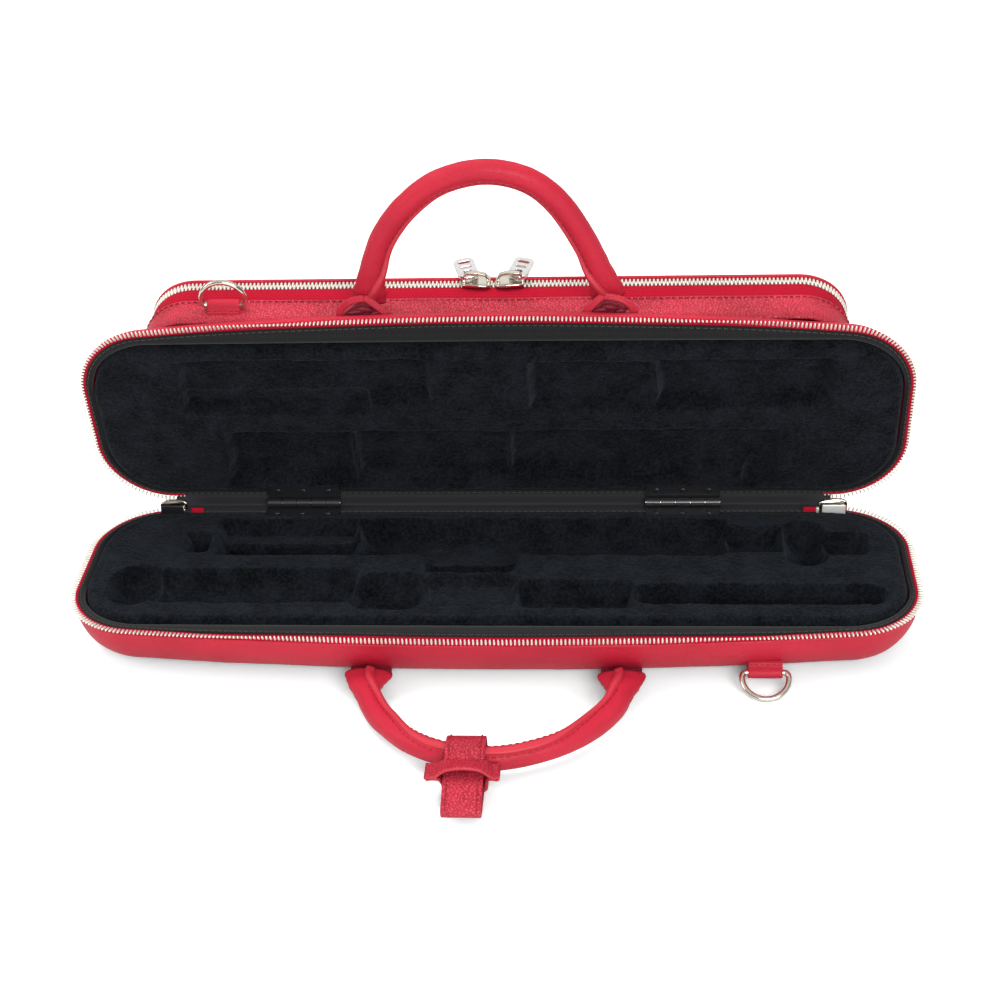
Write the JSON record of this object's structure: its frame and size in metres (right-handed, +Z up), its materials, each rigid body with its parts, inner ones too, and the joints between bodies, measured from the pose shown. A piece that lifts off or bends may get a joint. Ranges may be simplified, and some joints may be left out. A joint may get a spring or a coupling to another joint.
{
  "type": "flute case",
  "caption": "Open soft-sided flute case: zipped leather halves on a back hinge, fitted plush trays, lid pocket, rolled handles and D-rings.",
  "frame": {"origin": "middle of the base's flat underside, on the floor", "axes": "+X along the case towards its right end, +Y back towards the lid hinge, +Z up"},
  "size_m": [0.43, 0.2682, 0.2356],
  "materials": {
    "leather": "pebble-grained",
    "board": "stiff moulded board",
    "plush": "short-pile plush over foam",
    "binding": "woven binding tape",
    "zip_tape": "woven zip tape",
    "zip_teeth": "bright metal teeth",
    "lining": "thin woven lining",
    "hinge_metal": "black lacquer",
    "pin_metal": "plain",
    "rope": "twisted cotton rope",
    "ring_metal": "polished",
    "zip_metal": "polished"
  },
  "bodies": {
    "base": {"base_cover": "leather", "base_shell": "board", "base_tray": "plush", "base_binding": "binding", "base_zip_tape": "zip_tape", "base_zip_teeth": "zip_teeth", "base_hinge_leaf_left": "hinge_metal", "base_hinge_leaf_right": "hinge_metal", "hinge_pin_left": "pin_metal", "hinge_pin_right": "pin_metal", "base_handle_tab_left": "leather", "base_handle_tab_right": "leather", "base_ring_tab": "leather", "spine": "lining"},
    "lid": {"lid_cover": "leather", "lid_shell": "board", "lid_tray": "plush", "lid_binding": "binding", "lid_zip_tape": "zip_tape", "lid_zip_teeth": "zip_teeth", "lid_hinge_leaf_left": "hinge_metal", "lid_hinge_leaf_right": "hinge_metal", "lid_handle_tab_left": "leather", "lid_handle_tab_right": "leather", "lid_ring_tab": "leather", "pocket_gusset": "leather", "pocket_lining": "lining", "pocket_tape": "zip_tape", "pocket_teeth": "zip_teeth"},
    "pocket_flap": {"pocket_panel": "leather", "pocket_flap_teeth": "zip_teeth", "pocket_flap_tape": "zip_tape"},
    "base_handle": {"base_handle_grip": "leather", "base_handle_core": "rope"},
    "lid_handle": {"lid_handle_grip": "leather", "lid_handle_core": "rope"},
    "keeper_strap": {"keeper_strap": "leather"},
    "keeper_band": {"keeper_band": "leather"},
    "base_ring": {"base_ring": "ring_metal"},
    "lid_ring": {"lid_ring": "ring_metal"},
    "pocket_slider_left": {"pocket_slider_left": "zip_metal"},
    "pocket_pull_left": {"pocket_pull_left": "zip_metal"},
    "main_slider_left": {"main_slider_left": "zip_metal"},
    "main_pull_left": {"main_pull_left": "zip_metal"},
    "pocket_slider_right": {"pocket_slider_right": "zip_metal"},
    "pocket_pull_right": {"pocket_pull_right": "zip_metal"},
    "main_slider_right": {"main_slider_right": "zip_metal"},
    "main_pull_right": {"main_pull_right": "zip_metal"}
  },
  "joints": [
    {"name": "lid_hinge", "type": "hinge", "parent": "base", "child": "lid", "pos_m": [0, 0.0563, 0.0327], "axis": [-1, 0, 0], "range_deg": [-80, 0], "deforming": ["spine"]},
    {"name": "pocket_flap_hinge", "type": "hinge", "parent": "lid", "child": "pocket_flap", "pos_m": [0, 0.10148, 0.0627], "axis": [-1, 0, 0], "range_deg": [0, 40]},
    {"name": "base_handle_hinge", "type": "hinge", "parent": "base", "child": "base_handle", "pos_m": [0.004, -0.0681, 0.0103], "axis": [-1, 0, 0], "range_deg": [0, 70]},
    {"name": "lid_handle_hinge", "type": "hinge", "parent": "lid", "child": "lid_handle", "pos_m": [-0.002, 0.0602, 0.15453], "axis": [-1, 0, 0], "range_deg": [-20, 20]},
    {"name": "keeper_swing", "type": "hinge", "parent": "base_handle", "child": "keeper_strap", "pos_m": [-0.0055, -0.1276, 0.0103], "axis": [-1, 0, 0], "range_deg": [0, 25]},
    {"name": "keeper_band_slide", "type": "slide", "parent": "keeper_strap", "child": "keeper_band", "axis": [0, -1, 0], "range_m": [0, 0.01]},
    {"name": "base_ring_hinge", "type": "hinge", "parent": "base", "child": "base_ring", "pos_m": [0.137, -0.06035, 0.008], "axis": [-1, 0, 0], "range_deg": [0, 70]},
    {"name": "lid_ring_hinge", "type": "hinge", "parent": "lid", "child": "lid_ring", "pos_m": [-0.138, 0.06079, 0.15118], "axis": [-1, 0, 0], "range_deg": [-45, 40]},
    {"name": "pocket_slider_left_run", "type": "slide", "parent": "lid", "child": "pocket_slider_left", "axis": [-1, 0, 0], "range_m": [0, 0.135]},
    {"name": "pocket_pull_left_swing", "type": "hinge", "parent": "pocket_slider_left", "child": "pocket_pull_left", "pos_m": [-0.0122, 0.08038, 0.15616], "axis": [0.9511, 0.3043, 0.0537], "range_deg": [0, 110]},
    {"name": "main_slider_left_run", "type": "hinge", "parent": "base", "child": "main_slider_left", "pos_m": [-0.1775, 0.016, 0.0327], "axis": [0, 0, 1], "range_deg": [0, 80]},
    {"name": "main_pull_left_swing", "type": "hinge", "parent": "main_slider_left", "child": "main_pull_left", "pos_m": [-0.179, 0.0576, 0.0327], "axis": [1, 0, 0], "range_deg": [0, 70]},
    {"name": "pocket_slider_right_run", "type": "slide", "parent": "lid", "child": "pocket_slider_right", "axis": [1, 0, 0], "range_m": [0, 0.135]},
    {"name": "pocket_pull_right_swing", "type": "hinge", "parent": "pocket_slider_right", "child": "pocket_pull_right", "pos_m": [0.0122, 0.08038, 0.15616], "axis": [0.9511, -0.3043, -0.0537], "range_deg": [0, 110]},
    {"name": "main_slider_right_run", "type": "hinge", "parent": "base", "child": "main_slider_right", "pos_m": [0.1775, 0.016, 0.0327], "axis": [0, 0, -1], "range_deg": [0, 80]},
    {"name": "main_pull_right_swing", "type": "hinge", "parent": "main_slider_right", "child": "main_pull_right", "pos_m": [0.179, 0.0576, 0.0327], "axis": [1, 0, 0], "range_deg": [0, 70]}
  ]
}
